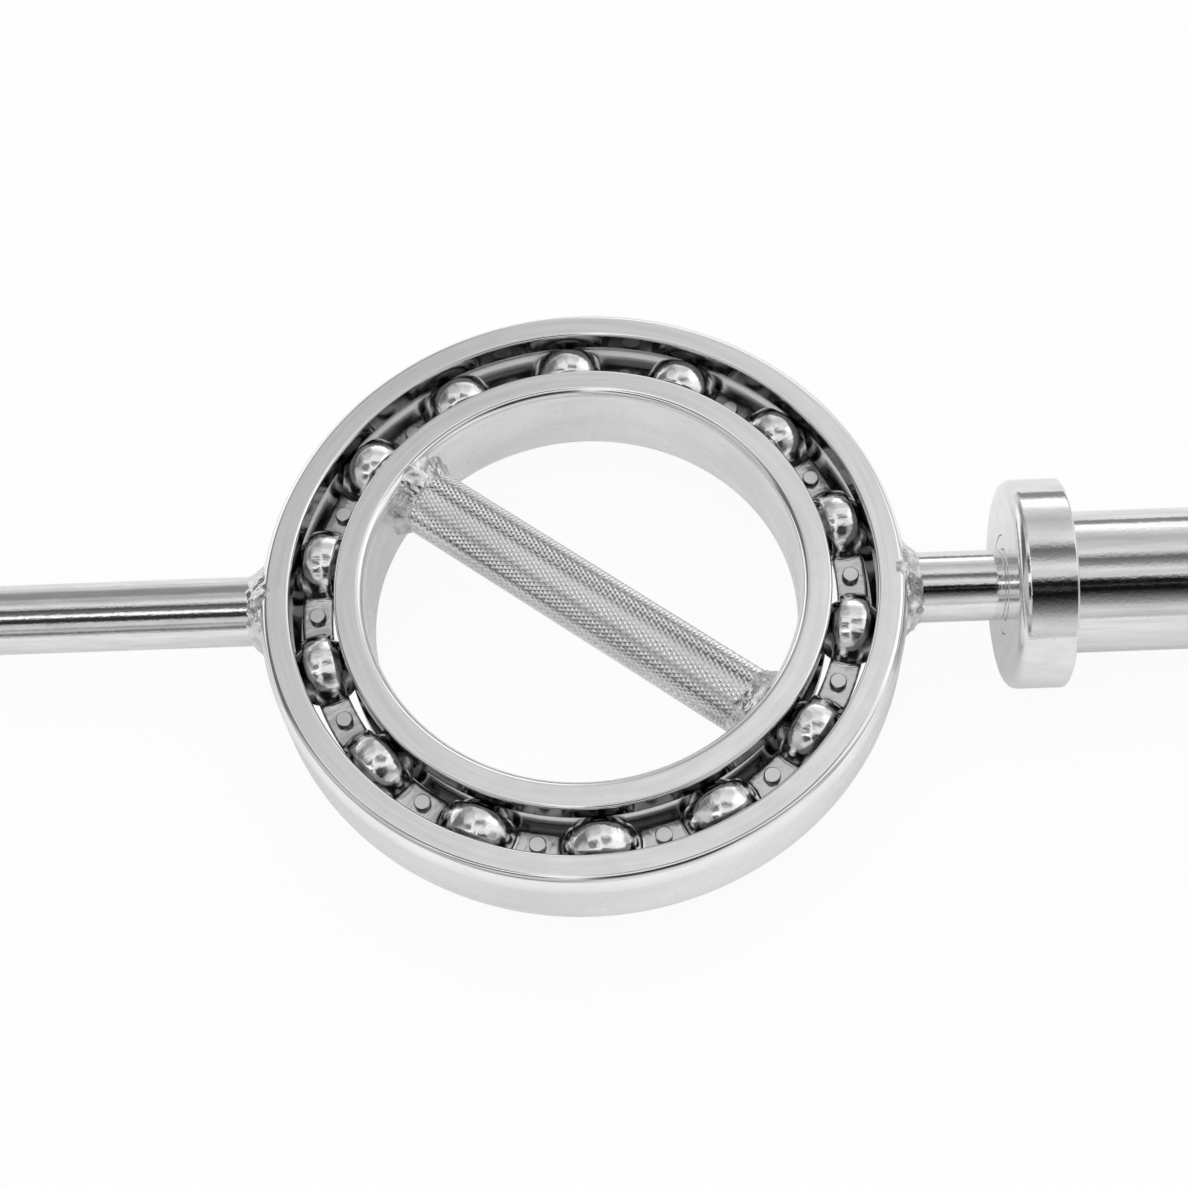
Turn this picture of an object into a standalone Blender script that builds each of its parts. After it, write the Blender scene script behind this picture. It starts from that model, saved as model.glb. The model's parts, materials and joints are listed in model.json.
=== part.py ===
"""Short plate-loaded bar whose two grips turn inside big ring bearings.

Metres, +Z up. X runs along the bar, Z is the axis of both rings, and the origin is the bar's centre.
The left half mirrors the right. Turned pieces are drawn as (along, radius) pairs on their own axis.
"""

import math

import bmesh
import bpy
from mathutils import Matrix

MM = 0.001

# Bar
SHAFT_D = 25.0 * MM
RING_SPACING = 560.0 * MM
STUB_LENGTH = 34.4 * MM
SHAFT_EDGE = 1.0 * MM

# Ring bearing: the ball circle, the balls, and the steel behind each groove
PITCH_D = 190.0 * MM
BALL_D = 23.8 * MM
BALL_COUNT = 14
OUTER_WALL = 6.5 * MM
INNER_WALL = 6.2 * MM
RING_WIDTH = 35.0 * MM
SHOULDER_GAP = 15.7 * MM
RIM_BREADTH = 3.5 * MM
RIM_DEPTH = 7.0 * MM
BORE_BREADTH = 3.0 * MM
BORE_DEPTH = 4.0 * MM
RACE_CLEARANCE = 0.4 * MM
FIRST_RIVET_ANGLE = math.radians(2.75)

# Ribbon cage and its rivets
CAGE_THICKNESS = 1.5 * MM
CAGE_INNER_CLEARANCE = 2.85 * MM
CAGE_OUTER_CLEARANCE = 2.25 * MM
POCKET_CLEARANCE = 0.3 * MM
RIVET_HEAD_D = 5.9 * MM
RIVET_HEAD_HEIGHT = 2.1 * MM
RIVET_SHANK_D = 3.4 * MM

# Grip
HANDLE_D = 25.0 * MM
HANDLE_ANGLE = math.radians(-37.24)

# Weld beads: how far each stands out from its bar and runs along it, and where its hollow face bends
SHAFT_WELD_LEG = 3.0 * MM
SHAFT_WELD_RUN = 6.0 * MM
HANDLE_WELD_LEG = 4.0 * MM
HANDLE_WELD_RUN = 8.0 * MM
BEAD_HIP_RUN = 0.4
BEAD_HIP_LEG = 0.45
BEAD_LEAST_LEG = 0.5 * MM
BEAD_MARGIN = 2.0 * MM

# Sleeve and collar
SLEEVE_D = 50.0 * MM
SLEEVE_LOAD_LENGTH = 320.0 * MM
SLEEVE_EDGE = 1.5 * MM
COLLAR_D = 74.0 * MM
COLLAR_THICKNESS = 19.8 * MM
COLLAR_LIP = 6.0 * MM
COLLAR_ROUND = 4.0 * MM
COLLAR_EDGE = 1.0 * MM

# Bushes, thrust washers, retaining ring and end cap
BUSH_WALL = 5.0 * MM
COLLAR_BUSH_LENGTH = 45.0 * MM
END_BUSH_LENGTH = 35.0 * MM
BUSH_MOUTH = 0.8 * MM
BUSH_RECESS = 0.8 * MM
JOURNAL_STEP = 2.5 * MM
WASHER_THICKNESS = 2.0 * MM
WASHER_EDGE_CLEARANCE = 1.0 * MM
CLIP_THICKNESS = 1.5 * MM
CLIP_BREADTH = 2.7 * MM
CLIP_OPENING = math.radians(50.0)
GROOVE_DEPTH = 1.0 * MM
GROOVE_SETBACK = 3.0 * MM
CAP_THICKNESS = 8.0 * MM
CAP_RECESS = 1.0 * MM
CAP_RIM = 3.0 * MM
CAP_DISH = 1.5 * MM
CAP_AIR = 3.0 * MM

# Gaps between meshes: fixed pieces, and pieces that turn on each other
FIT_GAP = 0.3 * MM
RUN_GAP = 0.2 * MM

# Facets round each kind of turned piece
RING_STEPS = 48
COLLAR_STEPS = 40
SLEEVE_STEPS = 32
BAR_STEPS = 24
SMALL_STEPS = 20
RIVET_STEPS = 6
GROOVE_STEPS = 4
POCKET_STEPS = 5
ROUND_STEPS = 3

# Worked-out sizes
SHAFT_R = SHAFT_D / 2
HANDLE_R = HANDLE_D / 2
SLEEVE_R = SLEEVE_D / 2
JOURNAL_R = SHAFT_R - JOURNAL_STEP
BUSH_R = SHAFT_R + BUSH_WALL
PITCH_R = PITCH_D / 2
BALL_R = BALL_D / 2
GROOVE_R = BALL_R + RACE_CLEARANCE
RING_R = PITCH_R + GROOVE_R + OUTER_WALL
BORE_R = PITCH_R - GROOVE_R - INNER_WALL
HALF_WIDTH = RING_WIDTH / 2
RIVET_PITCH = 2 * math.pi / BALL_COUNT
CAGE_INSIDE = PITCH_R - SHOULDER_GAP / 2 + CAGE_INNER_CLEARANCE
CAGE_OUTSIDE = PITCH_R + SHOULDER_GAP / 2 - CAGE_OUTER_CLEARANCE
CAGE_FLOOR = FIT_GAP / 2
CAGE_TOP = CAGE_FLOOR + CAGE_THICKNESS

# Places along the sleeve's axis, measured outwards from the ring's centre
SPINDLE_START = RING_R + FIT_GAP
COLLAR_START = RING_R + STUB_LENGTH
COLLAR_END = COLLAR_START + COLLAR_THICKNESS
BUSH_START = COLLAR_START + BUSH_RECESS
BUSH_END = BUSH_START + COLLAR_BUSH_LENGTH
SLEEVE_START = COLLAR_START + COLLAR_LIP + FIT_GAP
SLEEVE_END = COLLAR_END + SLEEVE_LOAD_LENGTH
CAP_START = SLEEVE_END - CAP_RECESS - CAP_THICKNESS
SPINDLE_END = CAP_START - CAP_AIR
GROOVE_END = SPINDLE_END - GROOVE_SETBACK
GROOVE_START = GROOVE_END - CLIP_THICKNESS - 2 * FIT_GAP
OUTER_WASHER_START = GROOVE_START - WASHER_THICKNESS
END_BUSH_END = OUTER_WASHER_START - RUN_GAP
END_BUSH_START = END_BUSH_END - END_BUSH_LENGTH
INNER_WASHER_START = END_BUSH_START - RUN_GAP - WASHER_THICKNESS
SHOULDER = INNER_WASHER_START - FIT_GAP

SMOOTH_BELOW = math.radians(32.0)
TINY = 1e-6
BRONZE = (1.1, 0.72, 0.32)

# The pieces on the sleeve's axis, by their mesh's name
END_PIECES = (
    "spindle",
    "inner_thrust_washer",
    "outer_thrust_washer",
    "retaining_ring",
    "sleeve",
    "sleeve_collar",
    "collar_bush",
    "end_bush",
    "end_cap",
)


def finish(name, shade, roughness, tint=(1.0, 1.0, 1.0)):
    """A polished or ground metal, grey unless it has a tint."""
    colour = (shade * tint[0], shade * tint[1], shade * tint[2], 1.0)
    material = bpy.data.materials.new(name)
    material.use_nodes = True
    shader = material.node_tree.nodes["Principled BSDF"]
    shader.inputs["Base Color"].default_value = colour
    shader.inputs["Metallic"].default_value = 1.0
    shader.inputs["Roughness"].default_value = roughness
    material.diffuse_color = colour
    return material


def bore(radius, steps):
    """Corner radius of a faceted bore whose flats touch the true radius."""
    return radius / math.cos(math.pi / steps)


def arc(centre, radius, start, end, steps):
    """Points on an arc in the (along, radius) plane, both ends included."""
    points = []
    for step in range(steps + 1):
        angle = start + (end - start) * step / steps
        along = centre[0] + radius * math.cos(angle)
        out = centre[1] + radius * math.sin(angle)
        points.append((along, out))
    return points


def mesh_of(name, bm):
    """Turns the bmesh into a mesh with outward faces and smooth round sides."""
    bmesh.ops.remove_doubles(bm, verts=bm.verts, dist=TINY)
    bmesh.ops.recalc_face_normals(bm, faces=bm.faces)
    mesh = bpy.data.meshes.new(name)
    bm.to_mesh(mesh)
    bm.free()
    mesh.shade_smooth()
    mesh.set_sharp_from_angle(angle=SMOOTH_BELOW)
    return mesh


def spun(profile, steps, angle=2 * math.pi):
    """Bmesh of a profile turned about Z. A whole turn starts half a facet round, so flats face X and Y."""
    bm = bmesh.new()
    start = math.pi / steps
    corners = []
    for along, radius in profile:
        corners.append(bm.verts.new((radius * math.cos(start), radius * math.sin(start), along)))
    for first, second in zip(corners, corners[1:]):
        bm.edges.new((first, second))
    if min(radius for along, radius in profile) > 0:
        bm.edges.new((corners[-1], corners[0]))
    outline = list(bm.verts) + list(bm.edges)
    whole = angle > 2 * math.pi - TINY
    bmesh.ops.spin(bm, geom=outline, axis=(0, 0, 1), angle=angle, steps=steps, use_merge=whole)
    if not whole:
        bmesh.ops.holes_fill(bm, edges=bm.edges)
    return bm


def turned(name, profile, steps):
    return mesh_of(name, spun(profile, steps))


def tube_profile(start, end, inside, outside):
    return [(start, inside), (start, outside), (end, outside), (end, inside)]


def outer_ring_mesh():
    """Ring with its groove facing inwards, and flats on the shoulders either side of the groove."""
    reach = math.acos(SHOULDER_GAP / 2 / GROOVE_R)
    groove = groove_points(-reach, reach)
    shoulder = PITCH_R + SHOULDER_GAP / 2
    below = round_corner(-1, RING_R, -RIM_BREADTH, RIM_DEPTH)
    above = round_corner(1, RING_R, -RIM_BREADTH, RIM_DEPTH)
    sides = [(-HALF_WIDTH, shoulder)] + below + above[::-1] + [(HALF_WIDTH, shoulder)]
    return turned("outer_ring", sides + groove[::-1], RING_STEPS)


def round_corner(side, wall_r, breadth, depth):
    """Rounded corner of a ring, from a flat side to a wall. A negative breadth lies inside the wall."""
    points = []
    for step in range(ROUND_STEPS + 1):
        turn = math.pi / 2 * step / ROUND_STEPS
        along = HALF_WIDTH - depth * (1 - math.cos(turn))
        points.append((side * along, wall_r + breadth * (1 - math.sin(turn))))
    return points


def corner_fall(height, breadth, depth):
    """How far a ring's rounded corner falls back at this height from the ring's middle."""
    past = max(0.0, abs(height) - (HALF_WIDTH - depth)) / depth
    return breadth * (1 - math.sqrt(1 - past**2))


def inner_ring_mesh():
    """Ring with its groove facing outwards, and the bore that holds the handle."""
    reach = math.acos(SHOULDER_GAP / 2 / GROOVE_R)
    groove = groove_points(math.pi + reach, math.pi - reach)
    shoulder = PITCH_R - SHOULDER_GAP / 2
    bore_r = bore(BORE_R, RING_STEPS)
    below = round_corner(-1, bore_r, BORE_BREADTH, BORE_DEPTH)
    above = round_corner(1, bore_r, BORE_BREADTH, BORE_DEPTH)
    sides = [(-HALF_WIDTH, shoulder)] + below + above[::-1] + [(HALF_WIDTH, shoulder)]
    return turned("inner_ring", sides + groove[::-1], RING_STEPS)


def groove_points(start, end):
    """Faceted ball groove whose flats touch the true groove, from the lower edge to the upper one."""
    bulge = 1 / math.cos((end - start) / GROOVE_STEPS / 2)
    points = []
    for step in range(GROOVE_STEPS + 1):
        angle = start + (end - start) * step / GROOVE_STEPS
        inside = 0 < step < GROOVE_STEPS
        radius = GROOVE_R * bulge if inside else GROOVE_R
        points.append((radius * math.sin(angle), PITCH_R + radius * math.cos(angle)))
    return points


def pocket_edges():
    """The strip's inner and outer edge over one ball, as (sideways, height) pairs."""
    slack = math.cos(math.pi / POCKET_STEPS / 2)
    inner_r = (BALL_R + POCKET_CLEARANCE) / slack
    outer_r = (BALL_R + POCKET_CLEARANCE + CAGE_THICKNESS) / slack
    inner = arc((0, 0), inner_r, math.pi, 0, POCKET_STEPS)
    outer = arc((0, 0), outer_r, math.pi, 0, POCKET_STEPS)
    climbed = CAGE_TOP / outer[1][1]
    foot = outer[0][0] + climbed * (outer[1][0] - outer[0][0])
    inner[0] = (-inner_r, CAGE_FLOOR)
    inner[-1] = (inner_r, CAGE_FLOOR)
    outer[0] = (foot, CAGE_TOP)
    outer[-1] = (-foot, CAGE_TOP)
    return list(zip(inner, outer))


def cage_half_mesh():
    """Pressed strip: a barrel pocket over each ball and a flat land between pockets for the rivet."""
    bm = bmesh.new()
    sections = []
    for ball in range(BALL_COUNT):
        angle = (ball + 0.5) * RIVET_PITCH
        cos = math.cos(angle)
        sin = math.sin(angle)
        for inner, outer in pocket_edges():
            section = []
            rim = ((inner, CAGE_INSIDE), (inner, CAGE_OUTSIDE), (outer, CAGE_OUTSIDE), (outer, CAGE_INSIDE))
            for (side, height), radius in rim:
                point = (radius * cos - side * sin, radius * sin + side * cos, height)
                section.append(bm.verts.new(point))
            sections.append(section)
    for first, second in zip(sections, sections[1:] + sections[:1]):
        for corner in range(4):
            after = (corner + 1) % 4
            bm.faces.new((first[corner], second[corner], second[after], first[after]))
    return mesh_of("cage_half", bm)


def round_the_pitch(name, profile):
    """One turned shape repeated on the ball circle, midway between the balls."""
    bm = spun(profile, RIVET_STEPS)
    bmesh.ops.remove_doubles(bm, verts=bm.verts, dist=TINY)
    bmesh.ops.translate(bm, verts=bm.verts, vec=(PITCH_R, 0, 0))
    first = list(bm.verts) + list(bm.edges) + list(bm.faces)
    for place_number in range(1, BALL_COUNT):
        copied = bmesh.ops.duplicate(bm, geom=first)["geom"]
        corners = [item for item in copied if isinstance(item, bmesh.types.BMVert)]
        turn = Matrix.Rotation(place_number * RIVET_PITCH, 3, "Z")
        bmesh.ops.rotate(bm, verts=corners, cent=(0, 0, 0), matrix=turn)
    return mesh_of(name, bm)


def ball_mesh():
    bm = bmesh.new()
    bmesh.ops.create_icosphere(bm, subdivisions=2, radius=BALL_R)
    return mesh_of("ball", bm)


def rivets_mesh():
    """Rivets fixed in the upper half: the upper heads grow out of its strip, the lower ones hang free."""
    head_r = RIVET_HEAD_D / 2
    shank_r = RIVET_SHANK_D / 2
    inside_strip = CAGE_FLOOR + CAGE_THICKNESS / 2
    upper_top = CAGE_TOP + RIVET_HEAD_HEIGHT
    lower_under = CAGE_TOP + FIT_GAP
    lower_top = lower_under + RIVET_HEAD_HEIGHT
    profile = [
        (-lower_top, 0),
        (-lower_top, head_r),
        (-lower_under, head_r),
        (-lower_under, shank_r),
        (inside_strip, shank_r),
        (inside_strip, head_r),
        (upper_top, head_r),
        (upper_top, 0),
    ]
    return round_the_pitch("rivets", profile)


def rivet_punches_mesh():
    """Punches that make the lower half's rivet holes."""
    hole_r = bore(RIVET_SHANK_D / 2 + FIT_GAP, RIVET_STEPS)
    reach = CAGE_TOP + RIVET_HEAD_HEIGHT
    return round_the_pitch("rivet_punches", [(-reach, 0), (-reach, hole_r), (reach, hole_r), (reach, 0)])


def bead_points(foot, run, bar_r, leg, flat):
    """End of a bar and the weld bead round it, from the axis to where the bead runs out on the bar.

    The bead's foot stays on the wall's flat breadth. A negative run goes down the axis.
    """
    outside = max(min(bar_r + leg, flat), bar_r + BEAD_LEAST_LEG)
    hip = (foot + BEAD_HIP_RUN * run, bar_r + BEAD_HIP_LEG * (outside - bar_r))
    return [(foot, 0), (foot, bar_r / 2), (foot, bar_r), (foot, outside), hip, (foot + run, bar_r)]


def wall_drop(wall_r, side):
    """How far a ring's round wall falls back at this distance to the side of a bar's axis."""
    return wall_r - math.sqrt(wall_r**2 - side**2)


def both_ends(name, half_length, run, bar_r, leg, flat, wall_r, outwards):
    """Bar with a weld bead at each end, its ends shaped to the walls that they meet."""
    end = bead_points(half_length, -run, bar_r, leg, flat)
    bm = spun([(-along, radius) for along, radius in end] + end[::-1], BAR_STEPS)
    for vert in bm.verts:
        if abs(vert.co.z) > half_length - run + TINY:
            corner = (RIM_BREADTH, RIM_DEPTH) if outwards > 0 else (BORE_BREADTH, BORE_DEPTH)
            fall = outwards * wall_drop(wall_r, vert.co.y) + corner_fall(vert.co.x, *corner)
            vert.co.z += math.copysign(1, vert.co.z) * fall
    return mesh_of(name, bm)


def centre_shaft_mesh():
    """Bar between the two outer rings, whose walls fall away from its ends."""
    half_length = RING_SPACING / 2 - SPINDLE_START
    flat = HALF_WIDTH - BEAD_MARGIN
    welds = (SHAFT_WELD_RUN, SHAFT_R, SHAFT_WELD_LEG, flat)
    return both_ends("centre_shaft", half_length, *welds, RING_R, 1)


def handle_mesh():
    """Grip across the bore, whose wall closes in on both ends."""
    flat = HALF_WIDTH - BEAD_MARGIN
    welds = (HANDLE_WELD_RUN, HANDLE_R, HANDLE_WELD_LEG, flat)
    return both_ends("handle", BORE_R - FIT_GAP, *welds, BORE_R, -1)


def spindle_mesh():
    """Bar end that carries the sleeve: weld, stub, shoulder, journal, clip groove and a chamfered tip."""
    groove_r = JOURNAL_R - GROOVE_DEPTH
    flat = HALF_WIDTH - BEAD_MARGIN
    profile = bead_points(SPINDLE_START, SHAFT_WELD_RUN, SHAFT_R, SHAFT_WELD_LEG, flat) + [
        (SHOULDER, SHAFT_R),
        (SHOULDER, JOURNAL_R),
        (GROOVE_START, JOURNAL_R),
        (GROOVE_START, groove_r),
        (GROOVE_END, groove_r),
        (GROOVE_END, JOURNAL_R),
        (SPINDLE_END - SHAFT_EDGE, JOURNAL_R),
        (SPINDLE_END, JOURNAL_R - SHAFT_EDGE),
        (SPINDLE_END, 0),
    ]
    bm = spun(profile, BAR_STEPS)
    toe = SPINDLE_START + SHAFT_WELD_RUN
    for vert in bm.verts:
        if vert.co.z < toe - TINY:
            vert.co.z -= wall_drop(RING_R, vert.co.y) + corner_fall(vert.co.x, RIM_BREADTH, RIM_DEPTH)
    return mesh_of("spindle", bm)


def sleeve_bore():
    return bore(BUSH_R + FIT_GAP, SLEEVE_STEPS)


def sleeve_mesh():
    profile = [
        (SLEEVE_START, sleeve_bore()),
        (SLEEVE_START, SLEEVE_R),
        (SLEEVE_END - SLEEVE_EDGE, SLEEVE_R),
        (SLEEVE_END, SLEEVE_R - SLEEVE_EDGE),
        (SLEEVE_END, sleeve_bore()),
    ]
    return turned("sleeve", profile, SLEEVE_STEPS)


def collar_mesh():
    """Flange with a round inner edge, a bore for the bush and a deeper seat for the sleeve."""
    collar_r = COLLAR_D / 2
    bush_seat = bore(BUSH_R + FIT_GAP, COLLAR_STEPS)
    sleeve_seat = bore(SLEEVE_R + FIT_GAP, COLLAR_STEPS)
    centre = (COLLAR_START + COLLAR_ROUND, collar_r - COLLAR_ROUND)
    edge = arc(centre, COLLAR_ROUND, math.pi, math.pi / 2, ROUND_STEPS)
    profile = [(COLLAR_START, bush_seat)] + edge + [
        (COLLAR_END - COLLAR_EDGE, collar_r),
        (COLLAR_END, collar_r - COLLAR_EDGE),
        (COLLAR_END, sleeve_seat),
        (COLLAR_START + COLLAR_LIP, sleeve_seat),
        (COLLAR_START + COLLAR_LIP, bush_seat),
    ]
    return turned("sleeve_collar", profile, COLLAR_STEPS)


def collar_bush_mesh():
    """Bush set a little into the collar's face, its mouth eased for the bar."""
    inside = bore(SHAFT_R + RUN_GAP, BAR_STEPS)
    profile = [
        (BUSH_START + BUSH_MOUTH, inside),
        (BUSH_START, inside + BUSH_MOUTH),
        (BUSH_START, BUSH_R),
        (BUSH_END, BUSH_R),
        (BUSH_END, inside),
    ]
    return turned("collar_bush", profile, BAR_STEPS)


def end_bush_mesh():
    inside = bore(JOURNAL_R + RUN_GAP, BAR_STEPS)
    return turned("end_bush", tube_profile(END_BUSH_START, END_BUSH_END, inside, BUSH_R), BAR_STEPS)


def washer_mesh(name, start):
    inside = bore(JOURNAL_R + FIT_GAP, SMALL_STEPS)
    outside = BUSH_R - WASHER_EDGE_CLEARANCE
    return turned(name, tube_profile(start, start + WASHER_THICKNESS, inside, outside), SMALL_STEPS)


def clip_mesh():
    """Spring clip with an opening, seated in the spindle's groove."""
    inside = bore(JOURNAL_R - GROOVE_DEPTH + FIT_GAP, SMALL_STEPS)
    start = GROOVE_START + FIT_GAP
    profile = tube_profile(start, start + CLIP_THICKNESS, inside, inside + CLIP_BREADTH)
    return mesh_of("retaining_ring", spun(profile, SMALL_STEPS, 2 * math.pi - CLIP_OPENING))


def cap_mesh():
    """Disc with a dished face inside a flat rim."""
    cap_r = BUSH_R
    end = CAP_START + CAP_THICKNESS
    profile = [
        (CAP_START, 0),
        (CAP_START, cap_r),
        (end, cap_r),
        (end, cap_r - CAP_RIM),
        (end - CAP_DISH, cap_r - CAP_RIM - CAP_DISH),
        (end - CAP_DISH, 0),
    ]
    return turned("end_cap", profile, SLEEVE_STEPS)


def place(name, mesh, parent, rotation=(0, 0, 0), location=(0, 0, 0)):
    """One named piece on its parent's axis."""
    obj = bpy.data.objects.new(name, mesh)
    obj.parent = parent
    obj.rotation_euler = rotation
    obj.location = location
    bpy.context.scene.collection.objects.link(obj)
    return obj


def helper(name, mesh, parent, rotation):
    """A shape that only a Boolean uses."""
    obj = place(name, mesh, parent, rotation)
    obj.hide_render = True
    obj.display_type = "WIRE"
    return obj


def axis_empty(name, location, rotation=(0, 0, 0)):
    empty = bpy.data.objects.new(name, None)
    empty.location = location
    empty.rotation_euler = rotation
    bpy.context.scene.collection.objects.link(empty)
    return empty


def lying(angle):
    """Rotation that lays a piece's own Z axis flat, pointing along the angle."""
    return (0, math.pi / 2, angle)


def combine(obj, operation, other):
    boolean = obj.modifiers.new(operation.lower(), "BOOLEAN")
    boolean.operation = operation
    boolean.object = other


def build_bearing(side, centre, turn, meshes):
    """Two rings, the balls between them and the riveted cage that spaces them."""
    upright = (0, 0, turn)
    turned_over = (math.pi, 0, turn)
    place(f"{side}_bearing_outer_ring", meshes["outer_ring"], centre)
    place(f"{side}_bearing_inner_ring", meshes["inner_ring"], centre)
    rivets = helper(f"{side}_rivets", meshes["rivets"], centre, upright)
    punches = helper(f"{side}_rivet_punches", meshes["rivet_punches"], centre, upright)
    upper = place(f"{side}_cage_upper", meshes["cage_half"], centre, upright)
    lower = place(f"{side}_cage_lower", meshes["cage_half"], centre, turned_over)
    combine(upper, "UNION", rivets)
    combine(lower, "DIFFERENCE", punches)
    for number in range(BALL_COUNT):
        angle = turn + (number + 0.5) * RIVET_PITCH
        spot = (PITCH_R * math.cos(angle), PITCH_R * math.sin(angle), 0)
        place(f"{side}_ball_{number + 1:02d}", meshes["ball"], centre, location=spot)


def all_meshes():
    """Every shape once, with its finish. The left and right pieces share it."""
    finishes = {
        outer_ring_mesh(): finish("ground_outer_ring_steel", 0.68, 0.25),
        inner_ring_mesh(): finish("ground_inner_ring_steel", 0.68, 0.25),
        ball_mesh(): finish("ball_steel", 0.72, 0.08),
        cage_half_mesh(): finish("pressed_cage_steel", 0.5, 0.35),
        rivets_mesh(): finish("rivet_steel", 0.42, 0.4),
        rivet_punches_mesh(): finish("punch_steel", 0.3, 0.5),
        centre_shaft_mesh(): finish("centre_shaft_chrome", 0.75, 0.12),
        handle_mesh(): finish("knurled_chrome", 0.62, 0.3),
        spindle_mesh(): finish("spindle_chrome", 0.75, 0.12),
        washer_mesh("inner_thrust_washer", INNER_WASHER_START): finish("inner_washer_steel", 0.55, 0.35),
        washer_mesh("outer_thrust_washer", OUTER_WASHER_START): finish("outer_washer_steel", 0.55, 0.35),
        clip_mesh(): finish("spring_steel", 0.25, 0.4),
        sleeve_mesh(): finish("sleeve_chrome", 0.72, 0.2),
        collar_mesh(): finish("collar_chrome", 0.75, 0.1),
        collar_bush_mesh(): finish("collar_bush_steel", 0.7, 0.2),
        end_bush_mesh(): finish("end_bush_bronze", 0.5, 0.4, BRONZE),
        cap_mesh(): finish("end_cap_chrome", 0.7, 0.15),
    }
    for mesh, material in finishes.items():
        mesh.materials.append(material)
    return {mesh.name: mesh for mesh in finishes}


def build():
    for obj in list(bpy.data.objects):
        bpy.data.objects.remove(obj)
    meshes = all_meshes()
    place("centre_shaft", meshes["centre_shaft"], None, lying(0))
    for side, sign in (("right", 1), ("left", -1)):
        middle = (sign * RING_SPACING / 2, 0, 0)
        ring_axis = axis_empty(f"{side}_ring_axis", middle)
        axle = axis_empty(f"{side}_sleeve_axis", middle, (0, sign * math.pi / 2, 0))
        turn = FIRST_RIVET_ANGLE if sign > 0 else math.pi - FIRST_RIVET_ANGLE
        build_bearing(side, ring_axis, turn, meshes)
        place(f"{side}_handle", meshes["handle"], ring_axis, lying(sign * HANDLE_ANGLE))
        for piece in END_PIECES:
            place(f"{side}_{piece}", meshes[piece], axle)


build()
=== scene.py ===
"""Looks of a barbell with turning grips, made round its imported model.

Chromed bars are welded to two open ball bearings, whose inner rings carry knurled grips. Plate
sleeves turn on the bar's ends. The model is in metres, with +X along the bar and +Z up.
"""
import json
import math

import bmesh
import bpy
from mathutils import Matrix, Vector, noise


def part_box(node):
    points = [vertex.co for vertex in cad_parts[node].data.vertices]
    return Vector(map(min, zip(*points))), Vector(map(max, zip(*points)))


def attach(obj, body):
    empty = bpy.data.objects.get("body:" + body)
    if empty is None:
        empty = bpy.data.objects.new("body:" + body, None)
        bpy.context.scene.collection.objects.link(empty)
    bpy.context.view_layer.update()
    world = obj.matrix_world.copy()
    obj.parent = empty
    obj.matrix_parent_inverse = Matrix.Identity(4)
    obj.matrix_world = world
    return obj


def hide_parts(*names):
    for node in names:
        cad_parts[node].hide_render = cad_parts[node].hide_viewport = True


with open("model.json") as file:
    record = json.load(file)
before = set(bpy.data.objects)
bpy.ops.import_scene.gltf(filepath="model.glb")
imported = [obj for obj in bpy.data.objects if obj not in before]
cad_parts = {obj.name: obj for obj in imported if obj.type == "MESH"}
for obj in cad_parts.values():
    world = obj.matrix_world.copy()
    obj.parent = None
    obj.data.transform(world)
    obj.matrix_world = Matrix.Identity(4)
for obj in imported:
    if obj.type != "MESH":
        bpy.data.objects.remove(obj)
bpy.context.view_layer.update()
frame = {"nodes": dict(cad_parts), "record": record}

MM = 0.001
SIDES = {"right": 1, "left": -1}

# Gaps between pieces that are fixed together, and between pieces that turn on each other
FIT_GAP = 0.3 * MM
RUN_GAP = 0.2 * MM

# Bar and grip
SHAFT_R = 12.5 * MM
SHAFT_EASE = 1.0 * MM
GRIP_R = 12.5 * MM
GRIP_ANGLE = math.radians(-37.24)

# Knurl: crossed grooves that leave small raised diamonds
KNURL_TEETH = 45
KNURL_PITCH = 3.0 * MM
KNURL_DEPTH = 0.42 * MM
KNURL_SLOPE = 0.56 * MM
KNURL_END = 73.0 * MM

# Ring bearing: its ball circle and balls, the steel behind each groove, and its rounded edges
PITCH_R = 95.0 * MM
BALL_R = 11.9 * MM
BALL_COUNT = 14
RACE_CLEARANCE = 0.4 * MM
OUTER_WALL = 6.5 * MM
INNER_WALL = 6.2 * MM
GROOVE_R = BALL_R + RACE_CLEARANCE
RING_R = PITCH_R + GROOVE_R + OUTER_WALL
BORE_R = PITCH_R - GROOVE_R - INNER_WALL
HALF_WIDTH = 17.5 * MM
SHOULDER_GAP = 15.7 * MM
SHOULDER_ROUND = 1.1 * MM
RIM_BREADTH = 3.5 * MM
RIM_DEPTH = 7.0 * MM
BORE_BREADTH = 3.0 * MM
BORE_DEPTH = 4.0 * MM

# A ring's three finishes, and how its faces are told apart
RING_FINISHES = ("ground_ring", "ring_edge", "race")
GROUND, POLISHED, TRACK = range(3)
FACES_UP = 0.999
FACES_ASIDE = 0.001
WALL_MARGIN = 0.1 * MM

# Riveted cage
STRIP_THICKNESS = 1.5 * MM
STRIP_INSIDE = PITCH_R - 5.0 * MM
STRIP_OUTSIDE = PITCH_R + 5.6 * MM
STRIP_TOP = FIT_GAP / 2 + STRIP_THICKNESS
STRIP_EASE = 0.2 * MM
STRIP_EASE_ANGLE = math.radians(50)
POCKET_CLEARANCE = 0.3 * MM
POCKET_R = BALL_R + POCKET_CLEARANCE + STRIP_THICKNESS
POCKET_BEND = 1.8 * MM
FIRST_RIVET = math.radians(2.75)
RIVET_R = 2.95 * MM
RIVET_SHANK_R = 1.7 * MM
RIVET_HEAD_HEIGHT = 2.1 * MM
RIVET_TOP = STRIP_TOP + RIVET_HEAD_HEIGHT
RIVET_ROUND = 0.45 * MM

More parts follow.
